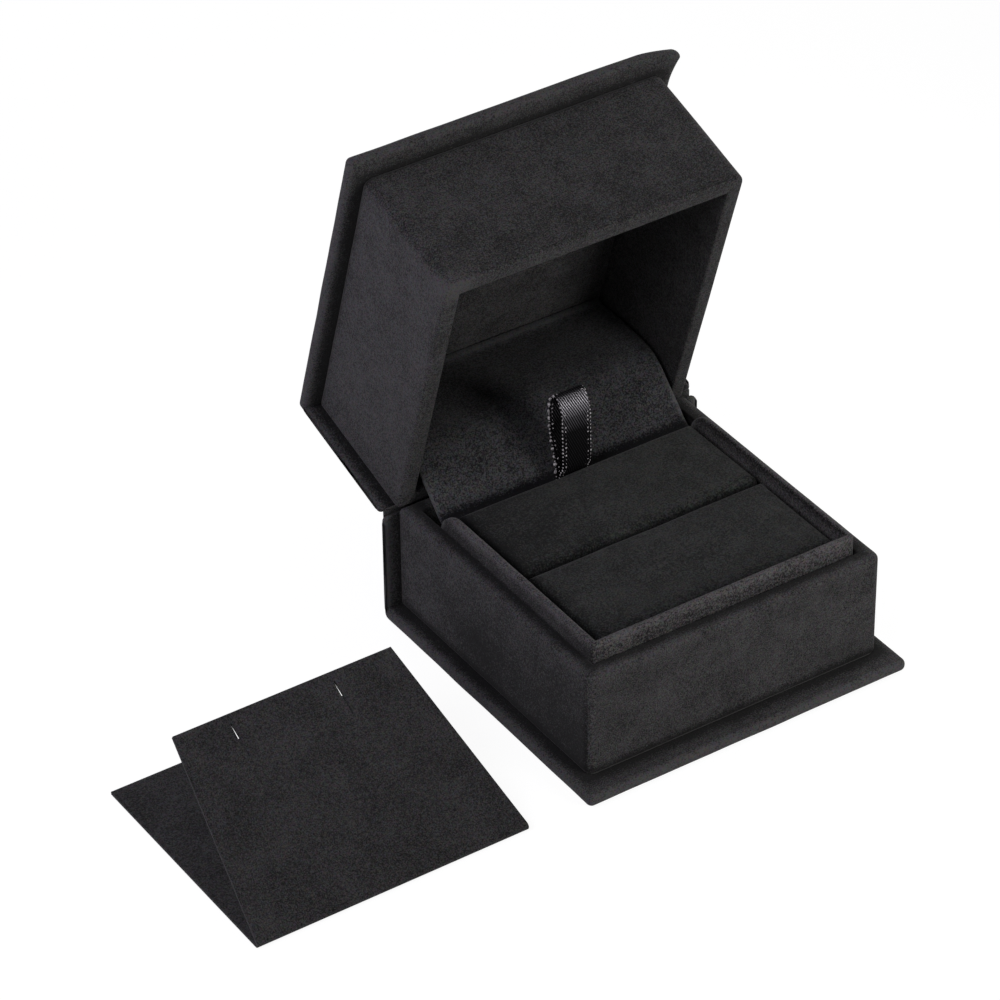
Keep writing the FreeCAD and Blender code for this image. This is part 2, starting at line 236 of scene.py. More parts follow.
def hand_wrapped(piece, amount, spread=9.0, shift=0.0):
    """Moves a mesh by a soft, broad unevenness, as hand-laid cloth has. Sizes in mm. shift
    moves the pattern, so that no two pieces share it."""
    for vertex in piece.data.vertices:
        at = vertex.co * per_metre(spread) + Vector((shift, shift, shift))
        vertex.co += noise.noise_vector(at) * amount * MM


def paint_shading(piece, level):
    """Paints light and shade into a piece's colour: lighter above 0, darker below 0."""
    marks = piece.data.attributes.new("painted_shading", "FLOAT", "POINT")
    for mark, vertex in zip(marks.data, piece.data.vertices):
        mark.value = level(vertex.co)


def fade(distance, reach, amount):
    """The whole amount at a line and 0 beyond its reach, with a soft end."""
    part = max(0.0, 1 - abs(distance) / reach)
    return amount * (part * part * (3 - 2 * part))


def finish(piece, material, body, slot, *nodes):
    """Gives a piece its material, puts it on its body and lets it stand for its nodes."""
    piece.data.materials.clear()
    piece.data.materials.append(material)
    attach(piece, body)
    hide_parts(*nodes)


black_suede = suede("black_microfibre_suede", "#131313", "#474647")

base_low, base_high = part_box("base_case_cloth")
plate_low, plate_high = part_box("base_board")
cloth = plate_low.z - base_low.z
plate = plate_high.z + cloth
wrap_round = 1.1 * MM
board_edge = 0.2 * MM      # the cloth's radius in an inner corner


def bent_wrap(name, corners, radii, thin):
    """The wrap of two boards that meet at a right angle: an outline in Y and Z, carried
    along X between the case's sides, with both ends rounded. thin lists the corners on the
    inside of the upright panel, which has less room for that rounding."""
    steps, strips = 7, 60
    turned = [math.radians(90 * k / steps) for k in range(steps + 1)]
    ends = [(base_low.x + wrap_round * (1 - math.sin(a)), wrap_round * (1 - math.cos(a)))
            for a in reversed(turned)]
    width = base_high.x - base_low.x - 2 * wrap_round
    middle = [(base_low.x + wrap_round + width * k / strips, 0.0) for k in range(1, strips)]
    stations = ends + middle + [(-x, inset) for x, inset in reversed(ends)]
    rows = []
    for x, inset in stations:
        room = max(0.0, inset - panel_round)
        fitted = [(y - room, z) if k in thin else (y, z) for k, (y, z) in enumerate(corners)]
        rows.append([Vector((x, p.x, p.y))
                     for p in outline(fitted, radii, inset, count_by=corners)])
    return shell(name, rows)


def beside_walls(co, low, high):
    """How far a point lies outside a box's front and sides, seen along Z. It is below 0
    inside the box."""
    across = max(low.x - co.x, co.x - high.x)
    along = low.y - co.y
    if across > 0 and along > 0:
        return math.hypot(across, along)
    return max(across, along)


spine_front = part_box("spine_board")[0].y - cloth
panel_round = 0.45 * (base_high.y - spine_front)
fold_round = 1.5 * MM
tray_low, tray_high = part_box("tray_cloth")
base_wrap = bent_wrap("base_suede_wrap", [
    (base_low.y, base_low.z), (base_high.y, base_low.z), (base_high.y, base_high.z),
    (spine_front, base_high.z), (spine_front, plate), (base_low.y, plate),
], [wrap_round, fold_round, panel_round, panel_round, board_edge, wrap_round], (3, 4))


def base_shading(co):
    """The base wrap's painted light and shade: a painted highlight along the plate's edges and most at the spine's
    two ends, and painted shade in the groove by the walls, which is narrower on the spine."""
    level = fade(beside_walls(co, base_low, base_high), reach=1.3 * MM, amount=0.45)
    groove = 2.3 * MM
    if co.z > plate + wrap_round:
        from_end = max(base_low.x - co.x, co.x - base_high.x)
        level += fade(from_end, reach=1.8 * MM, amount=0.9)
        groove = 1.1 * MM
    return level + fade(beside_walls(co, tray_low, tray_high), groove, amount=-0.9)


paint_shading(base_wrap, base_shading)
hand_wrapped(base_wrap, amount=0.10)
finish(base_wrap, black_suede, "base", "suede_cloth", "base_case_cloth")

# ---------------------------------------------------------------- greyboard and card inside
# Every wall and plate is solid greyboard, a hard, dense board of grey recycled fibre. The
# back boards and the cards below the ring pad are lined with black paper, because they can
# be seen past the pad.


def pressed_pulp(name, dark, light, fleck, uneven, roughness, tooth=0.0):
    """Board or paper. fleck is the size of its flecks and tooth the height of its fibres,
    in mm. uneven is how ragged the flecks are, from 0 to 1."""
    material, tree, shader, place = new_material(name)
    pulp = cloudy(tree, place, fleck, detail=4.0, roughness=uneven).outputs["Fac"]
    tree.links.new(tint(tree, pulp, dark, light), shader.inputs["Base Color"])
    shader.inputs["Roughness"].default_value = roughness
    if tooth:
        emboss(tree, shader, pulp, strength=0.4, depth=tooth)
    return material


def dress(node, material):
    """Gives a CAD node its material."""
    frame["nodes"][node].data.materials.clear()
    frame["nodes"][node].data.materials.append(material)


greyboard = pressed_pulp("grey_recycled_board", "#6f6c66", "#a09b92", fleck=0.8, uneven=0.7,
                         roughness=0.9, tooth=0.05)
for entry in frame["record"]["subparts"]:
    if entry["material_slot"] == "greyboard":
        dress(entry["node"], greyboard)

black_paper = pressed_pulp("black_lining_paper", "#151515", "#2c2b2c", fleck=0.5, uneven=0.5,
                           roughness=0.85)
for node in ("neck_board_back", "tray_board_back", "tray_floor_card", "pad_card"):
    dress(node, black_paper)

# ---------------------------------------------------------------- base tray
# Four greyboard walls on the base plate, with one strip of suede drawn round them, over
# the rim and a little way down inside. Its foot is creased in against the plate.


def wrapped_walls(name, plan, radii, section, section_radii, closed=True):
    """A wrap round upright walls. plan is their outer outline in X and Y; section is the
    wrap's own outline across a wall, as inset and height."""
    across = outline(section, section_radii, spacing=1.5 * MM)
    rows = [[Vector((p.x, p.y, height)) for p in outline(plan, radii, inset, closed=closed)]
            for inset, height in across]
    if closed:
        return shell(name, rows, through=True)
    return shell(name, [list(row) for row in zip(*rows)])


def wall_section(foot, rim, inside, thick, round_out, round_in):
    """The wrap's outline across a wall: its foot outside, its rim, its end inside. At the
    foot it is creased in below crease_top."""
    up = 1 if rim > foot else -1
    crease = 0.4 * MM
    crease_top = foot + up * crease * 1.6
    sharpest = 0.05 * MM
    points = [(crease, foot), (0.0, crease_top), (0.0, rim), (thick, rim),
              (thick, inside), (thick - cloth, inside), (thick - cloth, rim - up * cloth),
              (cloth, rim - up * cloth), (cloth, crease_top), (crease + cloth, foot)]
    radii = [0, crease, round_out, round_in, 0, 0, max(round_in - cloth, sharpest),
             round_out - cloth, crease, 0]
    return points, radii


rim_round = 1.0 * MM
rim_round_in = 0.45 * MM
front_corner = 1.8 * MM
rear_corner = 0.7 * MM
wall_corners = [front_corner, front_corner, rear_corner, rear_corner]
turned_in = 8.0 * MM
board_low, board_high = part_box("tray_board_left")
wall = board_high.x - board_low.x + 2 * cloth      # a wall's thickness over its cloth
section, section_radii = wall_section(plate, tray_high.z, tray_high.z - turned_in, wall,
                                      rim_round, rim_round_in)
tray_wrap = wrapped_walls("tray_suede_wrap", rectangle(tray_low, tray_high), wall_corners,
                          section, section_radii)
on_face = 0.2 * MM      # a point this near to a face lies on it


def tray_shading(co):
    """The tray's painted light and shade: painted shade at the foot and along the rim's inside, a painted
    highlight on the rim's outer edge, and on the left face painted shade, darkest towards the front and the bottom
    and in a patch."""
    level = fade(co.z - plate, reach=2.0 * MM, amount=-1.0)
    top = tray_high.z - co.z
    inside = min(co.x - tray_low.x, tray_high.x - co.x, co.y - tray_low.y)
    if top < 0.5 * MM:
        level += fade(inside - wall, reach=2.4 * MM, amount=-0.9)
    level += fade(math.hypot(top, inside) - 0.4 * MM, reach=1.2 * MM, amount=0.2)
    # Painted shade on the left face: darker towards the front and the bottom, and in a patch.
    if co.x < tray_low.x + on_face:
        broad_reach = 0.8       # the share of the face's depth, from its front
        backwards = (co.y - tray_low.y) / (tray_high.y - tray_low.y)
        front = max(0.0, broad_reach - backwards) / broad_reach
        downwards = top / (tray_high.z - plate)
        level -= 0.12 + 0.6 * front * min(1.0, downwards * 1.5)
        patch_y, patch_z, patch_stretch = 6 * MM, 9 * MM, 1.4
        patch = math.hypot((co.y - patch_y) / patch_stretch, co.z - patch_z)
        level += 0.1 + fade(patch, reach=11 * MM, amount=-0.45)
    return level


paint_shading(tray_wrap, tray_shading)
hand_wrapped(tray_wrap, amount=0.05, shift=3.0)
finish(tray_wrap, black_suede, "base", "suede_cloth", "tray_cloth")

# ---------------------------------------------------------------- neck
# The neck is a lower frame of board that stands inside the tray and out of its top, so
# that the lid's rim closes round it. Its suede is mitred at the two front corners.
neck_low, neck_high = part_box("neck_cloth")
neck_plan = [(neck_low.x, neck_high.y), (neck_low.x, neck_low.y),
             (neck_high.x, neck_low.y), (neck_high.x, neck_high.y)]
neck_corner = 1.0 * MM
neck_round = 0.62 * MM
neck_wrapped = 12.5 * MM      # how far down the wrap reaches outside
board_low, board_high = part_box("neck_board_front")
neck_wall = board_high.y - board_low.y + 2 * cloth
section, section_radii = wall_section(neck_high.z - neck_wrapped, neck_high.z, board_low.z,
                                      neck_wall, neck_round, neck_round)
neck_wrap = wrapped_walls("neck_suede_wrap", neck_plan, [0, neck_corner, neck_corner, 0],
                          section, section_radii, closed=False)
# The side walls' rear top corners are cut round, to let the lid's back panel swing past.
rear_round = 5.0 * MM
for vertex in neck_wrap.data.vertices:
    beyond = vertex.co.y - (neck_high.y - rear_round)
    above = vertex.co.z - (neck_high.z - rear_round)
    if beyond > 0 and above > 0:
        inward = 1 - max(beyond, above) / math.hypot(beyond, above)
        vertex.co.y -= beyond * inward
        vertex.co.z -= above * inward


def neck_shading(co):
    """The neck's painted light and shade: a painted highlight on top, where the light falls, painted shade along
    the top's inner edge, and painted shade on the outer faces, most on the left one."""
    inwards = min(co.x - neck_low.x, neck_high.x - co.x, co.y - neck_low.y)
    below = min(1.0, max(0.0, (neck_high.z - co.z) / MM - 0.5))
    side_shade = 0.38 if co.x < neck_low.x + on_face else 0.12
    inner_edge = fade(inwards - neck_wall, reach=0.5 * MM, amount=0.6)
    return (0.16 - inner_edge) * (1 - below) - side_shade * below * (inwards < on_face)


paint_shading(neck_wrap, neck_shading)
hand_wrapped(neck_wrap, amount=0.05, spread=7.0, shift=6.0)
# A lit copy of the black suede for the neck: its lighter light colour, darker dark one and more sheen paint a
# highlight on the rim, which the light falls on from above.
highlight_rim_suede = suede("painted_highlight_rim_suede", "#100f10", "#585657", sheen=0.1, relief=0.1)
finish(neck_wrap, highlight_rim_suede, "base", "suede_cloth", "neck_cloth")

# ---------------------------------------------------------------- lid
# The lid is made like the base: a plate and a back panel in one wrap, with a deep tray of
# four walls glued inside. Its pieces are shaped in the closed lid's place and then turned
# open about the hinge, as the frame has them.
hinge = next(j for j in frame["joints"] if j["name"] == "lid_hinge")
hinge_at = Vector(hinge["pos_m"])
opening = (Matrix.Translation(hinge_at)
           @ Matrix.Rotation(math.radians(-hinge["range_deg"][0]), 4, Vector(hinge["axis"]))
           @ Matrix.Translation(-hinge_at))


def closed_box(node):
    """A lid node's lowest and highest corners when the lid is closed."""
    back = opening.inverted()
    points = [back @ v.co for v in frame["nodes"][node].data.vertices]
    return (Vector([min(p[i] for p in points) for i in range(3)]),
            Vector([max(p[i] for p in points) for i in range(3)]))


lid_low, lid_high = closed_box("lid_case_cloth")
lid_inside = lid_high.z - plate
walls_low, walls_high = closed_box("lid_wall_cloth")
lid_wrap = bent_wrap("lid_suede_wrap", [
    (lid_low.y, lid_inside), (spine_front, lid_inside), (spine_front, lid_low.z),
    (lid_high.y, lid_low.z), (lid_high.y, lid_high.z), (lid_low.y, lid_high.z),
], [wrap_round, board_edge, panel_round, panel_round, wrap_round, wrap_round], (1, 2))


def lid_plate_shading(co):
    """The lid plate's painted light and shade: a painted highlight along its edges, painted shade in the groove by
    the walls.
    """
    edge_highlight = fade(beside_walls(co, lid_low, lid_high), reach=1.2 * MM, amount=0.35)
    return edge_highlight + fade(beside_walls(co, walls_low, walls_high), reach=2.1 * MM, amount=-0.85)


paint_shading(lid_wrap, lid_plate_shading)
hand_wrapped(lid_wrap, amount=0.12, shift=9.0)
# The plate's front right corner has been knocked and droops, so the wrap stands for the
# board inside it too.
knock_reach = 8 * MM
knocked_down = 1.4 * MM
knocked_back = 0.5 * MM
for vertex in lid_wrap.data.vertices:
    from_side = (lid_high.x - vertex.co.x) / knock_reach
    near = 1 - from_side - (vertex.co.y - lid_low.y) / knock_reach
    if near > 0 and vertex.co.z > lid_inside - 0.5 * MM:
        vertex.co.z -= knocked_down * near ** 1.5
        vertex.co.y += knocked_back * near ** 1.5
lid_wrap.data.transform(opening)
finish(lid_wrap, black_suede, "lid", "suede_cloth", "lid_case_cloth", "lid_top_board")

section, section_radii = wall_section(lid_inside, walls_low.z, lid_inside, wall, rim_round,
                                      rim_round_in)
lid_walls = wrapped_walls("lid_wall_suede_wrap", rectangle(walls_low, walls_high),
                          wall_corners, section, section_radii)
highlight_corner = walls_low + Vector((1.5, 1.5, 0.0)) * MM


def lid_wall_shading(co):
    """The lid walls' painted light and shade: a painted highlight at one corner of the rim, the left face a little
    lighter where more light falls on it, the front face darker towards the rim, and painted shade at the foot."""
    level = fade((co - highlight_corner).length, reach=5.5 * MM, amount=0.55)
    level += fade(co.z - lid_inside, reach=1.0 * MM, amount=-0.7)
    if co.x < walls_low.x + on_face:
        level += 0.12
    elif co.y < walls_low.y + on_face:
        level += fade(co.z - walls_low.z, reach=14 * MM, amount=-0.15)
    return level


paint_shading(lid_walls, lid_wall_shading)
hand_wrapped(lid_walls, amount=0.05, shift=12.0)
lid_walls.data.transform(opening)
finish(lid_walls, black_suede, "lid", "suede_cloth", "lid_wall_cloth")

# The ceiling is a card wrapped in the same suede and glued in last.
ceiling_low, ceiling_high = closed_box("ceiling_cloth")
ceiling_plan = rectangle(ceiling_low, ceiling_high)
ceiling_corner = 0.8 * MM
ceiling_edge = 0.6 * MM
edge_steps = 6
rows = [level_row(ceiling_plan, ceiling_corner, ceiling_high.z)]
for k in range(edge_steps + 1):
    angle = math.radians(90 * k / edge_steps)
    height = ceiling_low.z + ceiling_edge * (1 - math.sin(angle))
    inset = ceiling_edge * (1 - math.cos(angle))
    rows.append(level_row(ceiling_plan, ceiling_corner, height, inset))
for inset in (2, 5, 10, 16, 22):
    rows.append(level_row(ceiling_plan, ceiling_corner, ceiling_low.z, inset * MM))
ceiling_panel = shell("ceiling_suede_panel", rows)
hand_wrapped(ceiling_panel, amount=0.12, shift=15.0)
ceiling_panel.data.transform(opening)
finish(ceiling_panel, black_suede, "lid", "suede_cloth", "ceiling_cloth")

# ---------------------------------------------------------------- liner and hinge strip
# The liner is a loose flap of a slightly coarser suede. It is glued down the neck's back
# board and runs in a slack bow over the joint to the lid's ceiling, to hide the hinge. A
# strip of cloth outside is the hinge itself.
liner_low, liner_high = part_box("hinge_liner")
board_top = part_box("neck_board_back")[1].z
liner_end = Vector((liner_high.y + 0.14 * MM, liner_high.z - cloth + 0.04 * MM))
liner_route = [
    Vector((liner_low.y, liner_low.z)),
    Vector((liner_low.y, board_top - 1.0 * MM)),
    Vector((liner_low.y + 0.3 * MM, board_top + 0.3 * MM)),
    Vector((liner_low.y + 1.9 * MM, board_top + 1.4 * MM)),
    Vector((liner_low.y + 4.1 * MM, board_top + 3.6 * MM)),
    Vector((liner_end.x - 22.3 * MM, liner_end.y - 5.6 * MM)),
    Vector((liner_end.x - 19.6 * MM, liner_end.y - 2.9 * MM)),
    Vector((liner_end.x - 17.2 * MM, liner_end.y - 1.3 * MM)),
    Vector((liner_end.x - 13.5 * MM, liner_end.y - 0.5 * MM)),
    Vector((liner_end.x - 7.0 * MM, liner_end.y - 0.1 * MM)),
    Vector((liner_end.x - 1.9 * MM, liner_end.y)),
    Vector((liner_end.x - 0.6 * MM, liner_end.y + 0.9 * MM)),
]


def smooth_route(points, spacing):
    """Evenly spaced points on a smooth curve through the given ones, in a plane, and the
    curve's length."""
    dense = []
    steps = 20
    for i in range(len(points) - 1):
        before, start = points[max(i - 1, 0)], points[i]
        end, after = points[i + 1], points[min(i + 2, len(points) - 1)]
        for k in range(steps):
            t = k / steps
            dense.append(0.5 * (2 * start + (end - before) * t
                                + (2 * before - 5 * start + 4 * end - after) * t ** 2
                                + (3 * start - before - 3 * end + after) * t ** 3))
    dense.append(points[-1])
    total = sum((b - a).length for a, b in zip(dense, dense[1:]))
    count = round(total / spacing)
    even, walked, i = [dense[0]], 0.0, 0
    for k in range(1, count):
        target = total * k / count
        while walked + (dense[i + 1] - dense[i]).length < target:
            walked += (dense[i + 1] - dense[i]).length
            i += 1
        step = (dense[i + 1] - dense[i]).length
        even.append(dense[i].lerp(dense[i + 1], (target - walked) / step))
    return even + [dense[-1]], total


def evenly(start, end, parts):
    """Values from start to end, with equal steps."""
    return [start + (end - start) * k / parts for k in range(parts + 1)]


route, liner_length = smooth_route(liner_route, spacing=0.8 * MM)
pared = 1.8 * MM            # the length at the free end that is pared thin
pared_away = 0.75           # the share of the cloth that is gone at its very end
xs = evenly(liner_low.x, liner_high.x, parts=56)
rows = []
for i, point in enumerate(route):
    along = (route[min(i + 1, len(route) - 1)] - route[max(i - 1, 0)]).normalized()
    under = Vector((along.y, -along.x)) * cloth
    left_over = liner_length * (1 - i / (len(route) - 1))
    top = point + under * pared_away * max(0.0, 1 - left_over / pared)
    rows.append([Vector((x, top.x, top.y)) for x in xs]
                + [Vector((x, point.x + under.x, point.y + under.y)) for x in reversed(xs)])
liner = shell("hinge_liner_flap", rows)
hand_wrapped(liner, amount=0.1, spread=14.0, shift=18.0)
liner_suede = suede("liner_suede", "#141416", "#4a4a4c", grain=0.28, relief=0.07)
liner.data.materials.append(liner_suede)


def liner_shading(co):
    """The liner's painted light and shade: lighter along its two sides and its free end, which are cut edges, with
    a painted highlight at the free end, and painted shade where it leaves the top of the board."""
    from_side = min(abs(co.x - liner_low.x), abs(co.x - liner_high.x))
    from_end = math.hypot(co.y - liner_end.x, co.z - liner_end.y)
    above_board = max(0.0, co.z - board_top - 0.6 * MM)
    return (fade(from_side, reach=1.0 * MM, amount=0.5)
            + fade(from_end, reach=2.4 * MM, amount=0.7)
            + fade(above_board, reach=1.3 * MM, amount=-1.0))


paint_shading(liner, liner_shading)
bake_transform(liner)
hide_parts("hinge_liner")

strip_low, strip_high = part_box("hinge_strip")
strip_foot = strip_low.z - 1.2 * MM      # a little below the joint, on the spine
strip_inside = strip_high.y - cloth
strip_edge = 0.1 * MM
corners = [(strip_inside, strip_foot), (strip_high.y, strip_foot),
           (strip_high.y, strip_high.z), (strip_inside, strip_high.z)]
across = outline(corners, [strip_edge] * 4, spacing=0.4 * MM)
rows = [[Vector((x, p.x, p.y)) for p in across]
        for x in evenly(strip_low.x, strip_high.x, parts=60)]
strip = shell("hinge_cloth_strip", rows)
strip.data.materials.append(black_suede)
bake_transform(strip)
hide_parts("hinge_strip")

# ---------------------------------------------------------------- ring pad
# Two blocks of dense foam on a card, each wrapped in suede. A ring is pushed into the
# narrow slot between them.
pad_suede = suede("pad_suede", "#0b0c0c", "#363736", grain=0.3, mottle=0.2)
pad_corner = 0.9 * MM
pad_edge = 1.7 * MM
crown = 0.25 * MM           # how far the top swells above its edges
top_middle = 0.3 * MM       # half the flat that is left in the middle of the top
side_steps, edge_steps, top_steps = 12, 7, 8
for end in ("front", "rear"):
    low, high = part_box("pad_cloth_" + end)
    plan = rectangle(low, high)
    edge_foot = high.z - crown - pad_edge
    rows = []
    for height in evenly(low.z, edge_foot, side_steps):
        rows.append(level_row(plan, pad_corner, height))
    for k in range(1, edge_steps + 1):
        angle = math.radians(90 * k / edge_steps)
        height = high.z - crown - pad_edge * (1 - math.sin(angle))
        rows.append(level_row(plan, pad_corner, height, pad_edge * (1 - math.cos(angle))))
    half_depth = (high.y - low.y) / 2
    for k in range(1, top_steps + 1):
        inset = pad_edge + (half_depth - pad_edge - top_middle) * k / top_steps
        height = high.z - crown * (1 - inset / half_depth) ** 2
        rows.append(level_row(plan, pad_corner, height, inset))
    pad = shell("ring_pad_" + end, rows)
    # Painted shade along the left edge, and on the rear block in a broad band there.
    rear_shade = -0.3 if end == "rear" else 0.0
    paint_shading(pad, lambda co: fade(max(0.0, co.x - low.x - 6 * MM), reach=18 * MM, amount=rear_shade)
        + fade(co.x - low.x, reach=4 * MM, amount=-0.5))
    hand_wrapped(pad, amount=0.16, spread=12.0, shift=21.0)
    finish(pad, pad_suede, "ring_pad", "suede_cloth", "pad_cloth_" + end, "pad_foam_" + end)

# ---------------------------------------------------------------- ribbon
# A pull loop of narrow black satin ribbon. Its ribs run a little aslant and catch the light
# where it bends over. Its edges are bound with glossy thread, which stands out in larger
# loops on the rear strand. Both of its ends are glued behind the pad.
ribbon_low, ribbon_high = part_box("ribbon_loop")
tail_low, tail_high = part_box("ribbon_tail")
ribbon_middle = (ribbon_low.x + ribbon_high.x) / 2
ribbon_width = 5.6 * MM
ribbon_thick = 0.3 * MM
front_strand = tail_low.y + ribbon_thick / 2
rear_strand = tail_high.y - ribbon_thick / 2
loop_front = ribbon_low.y + ribbon_thick / 2
loop_rear = ribbon_high.y + 0.2 * MM
loop_top = ribbon_high.z - 1.6 * MM
ribbon_route = [
    Vector((front_strand, tail_low.z)),
    Vector((front_strand, tail_low.z + 10 * MM)),
    Vector((front_strand - 0.2 * MM, tail_high.z - 1.6 * MM)),
    Vector((loop_front + 0.1 * MM, tail_high.z + 1.0 * MM)),
    Vector((loop_front, tail_high.z + 4.0 * MM)),
    Vector((loop_front + 0.1 * MM, loop_top - 6.5 * MM)),
    Vector((loop_front + 0.35 * MM, loop_top - 2.6 * MM)),
    Vector((loop_front + 1.8 * MM, loop_top)),
    Vector((loop_rear - 0.8 * MM, loop_top - 0.5 * MM)),
    Vector((loop_rear, loop_top - 3.2 * MM)),
    Vector((loop_rear - 0.3 * MM, loop_top - 8.2 * MM)),
    Vector((rear_strand + 0.1 * MM, tail_high.z)),
    Vector((rear_strand - 0.1 * MM, tail_low.z + 12 * MM)),
    Vector((front_strand + 0.45 * MM, tail_low.z + 5 * MM)),
]
route = smooth_route(ribbon_route, spacing=0.35 * MM)[0]


def ribbon_tree(name):
    """Geometry Nodes: a flat strip along a curve, and the thread along its edges."""
    group = bpy.data.node_groups.new(name, "GeometryNodeTree")
    face = group.interface
    face.new_socket("Geometry", in_out="INPUT", socket_type="NodeSocketGeometry")
    for label in ("Width", "Thickness", "Bead pitch", "Bead size", "Loops behind"):
        face.new_socket(label, in_out="INPUT", socket_type="NodeSocketFloat")
    face.new_socket("Strip", in_out="INPUT", socket_type="NodeSocketMaterial")
    face.new_socket("Thread", in_out="INPUT", socket_type="NodeSocketMaterial")
    face.new_socket("Geometry", in_out="OUTPUT", socket_type="NodeSocketGeometry")
    given = add_node(group, "NodeGroupInput", {}).outputs
    path = add_node(group, "GeometryNodeSetCurveNormal", {
        "Curve": given["Geometry"], "Normal": (1.0, 0.0, 0.0)}, mode="FREE")

    flat = add_node(group, "GeometryNodeCurvePrimitiveQuadrilateral", {
        "Width": given["Width"], "Height": given["Thickness"]}, mode="RECTANGLE")
    fine = add_node(group, "GeometryNodeResampleCurve", {
        "Curve": flat.outputs["Curve"], "Count": 60}, mode="COUNT")
    strip = add_node(group, "GeometryNodeCurveToMesh", {
        "Curve": path.outputs["Curve"], "Profile Curve": fine.outputs["Curve"],
        "Fill Caps": True})
    smooth = add_node(group, "GeometryNodeSetShadeSmooth", {"Geometry": strip.outputs["Mesh"]})
    dyed = add_node(group, "GeometryNodeSetMaterial", {
        "Geometry": smooth.outputs["Geometry"], "Material": given["Strip"]})

    # The thread shows as short beads: two rows along each edge, and larger loops on the left
    # edge of the rear strand.
    bead = add_node(group, "GeometryNodeMeshUVSphere", {
        "Segments": 8, "Rings": 6, "Radius": given["Bead size"]})
    tangent = add_node(group, "GeometryNodeInputTangent", {})
    facing = add_node(group, "FunctionNodeAlignRotationToVector", {
        "Vector": tangent.outputs["Tangent"]}, axis="Z")
    half = add_node(group, "ShaderNodeMath", {0: given["Width"], 1: 0.5}, operation="MULTIPLY")
    depth = add_node(group, "ShaderNodeSeparateXYZ", {
        "Vector": add_node(group, "GeometryNodeInputPosition", {}).outputs["Position"]})
    behind = add_node(group, "FunctionNodeCompare", {
        "A": depth.outputs["Y"], "B": given["Loops behind"]}, operation="GREATER_THAN")
    parts = [dyed.outputs["Geometry"]]
    # A row has its edge, its distance inside that edge in mm, its pitch and its beads' size
    # against the given ones, and whether it is on the rear strand alone.
    rows = ((1, 0.0, 1.0, 1.0, False), (1, 0.55, 1.07, 1.15, False), (-1, 0.0, 1.0, 0.9, False),
            (-1, 0.55, 1.07, 1.25, False), (-1, -0.1, 1.9, 1.7, True))
    for number, (side, inside, spread, size, at_rear) in enumerate(rows):
        apart = add_node(group, "ShaderNodeMath", {
            0: given["Bead pitch"], 1: spread}, operation="MULTIPLY")
        steps = add_node(group, "GeometryNodeResampleCurve", {
            "Curve": path.outputs["Curve"], "Length": apart.outputs[0]}, mode="LENGTH")
        out = add_node(group, "ShaderNodeMath", {
            0: half.outputs[0], 1: -inside * MM}, operation="ADD")
        signed = add_node(group, "ShaderNodeMath", {
            0: out.outputs[0], 1: float(side)}, operation="MULTIPLY")
        beside = add_node(group, "ShaderNodeCombineXYZ", {"X": signed.outputs[0]})
        row = add_node(group, "GeometryNodeSetPosition", {
            "Geometry": steps.outputs["Curve"], "Offset": beside.outputs["Vector"]})
        uneven = add_node(group, "FunctionNodeRandomValue", {
            "Min": (0.6 * size, 0.6 * size, 0.5 * size),
            "Max": (1.3 * size, 1.3 * size, 1.5 * size), "Seed": 7 + number},
            data_type="FLOAT_VECTOR")
        beads = add_node(group, "GeometryNodeInstanceOnPoints", {
            "Points": row.outputs["Geometry"], "Instance": bead.outputs["Mesh"],
            "Rotation": facing.outputs["Rotation"], "Scale": uneven.outputs["Value"]})
        if at_rear:
            group.links.new(behind.outputs["Result"], beads.inputs["Selection"])
        real = add_node(group, "GeometryNodeRealizeInstances", {
            "Geometry": beads.outputs["Instances"]})
        round_off = add_node(group, "GeometryNodeSetShadeSmooth", {
            "Geometry": real.outputs["Geometry"]})
        thread = add_node(group, "GeometryNodeSetMaterial", {
            "Geometry": round_off.outputs["Geometry"], "Material": given["Thread"]})
        parts.append(thread.outputs["Geometry"])
    together = add_node(group, "GeometryNodeJoinGeometry", {})
    for part in parts:
        group.links.new(part, together.inputs["Geometry"])
    realized = add_node(group, "GeometryNodeRealizeInstances", {
        "Geometry": together.outputs["Geometry"]})
    add_node(group, "NodeGroupOutput", {"Geometry": realized.outputs["Geometry"]})
    return group


def grown(name, source, group, inputs):
    """A plain mesh from a Geometry Nodes tree run on a source object, which is removed."""
    modifier = source.modifiers.new("grow", "NODES")
    modifier.node_group = group
    for item in group.interface.items_tree:
        if item.in_out == "INPUT" and item.name in inputs:
            modifier[item.identifier] = inputs[item.name]
    bpy.context.view_layer.update()
    evaluated = source.evaluated_get(bpy.context.evaluated_depsgraph_get())
    mesh = bpy.data.meshes.new_from_object(evaluated)
    mesh.name = name
    piece = bpy.data.objects.new(name, mesh)
    bpy.context.scene.collection.objects.link(piece)
    source.modifiers.clear()
    bpy.data.objects.remove(source)
    return piece


satin, tree, shader, place = new_material("black_polyester_satin")
# The warp lies a little aslant, so its ribs cross the strip at about 25 degrees. They are
# drawn about three times coarser than the real yarn, which would be too fine to see. The
# wave's scale is tau / 20 for a pitch of one.
rib_pitch = 0.4 * MM
aslant = add_node(tree, "ShaderNodeMapping", {
    "Vector": place, "Rotation": (0.0, math.radians(25.3), 0.0)})
ribs = add_node(tree, "ShaderNodeTexWave", {
    "Vector": aslant.outputs["Vector"], "Scale": math.tau / 20 / rib_pitch,
    "Distortion": 0.9, "Detail": 2.0, "Detail Scale": 0.35})
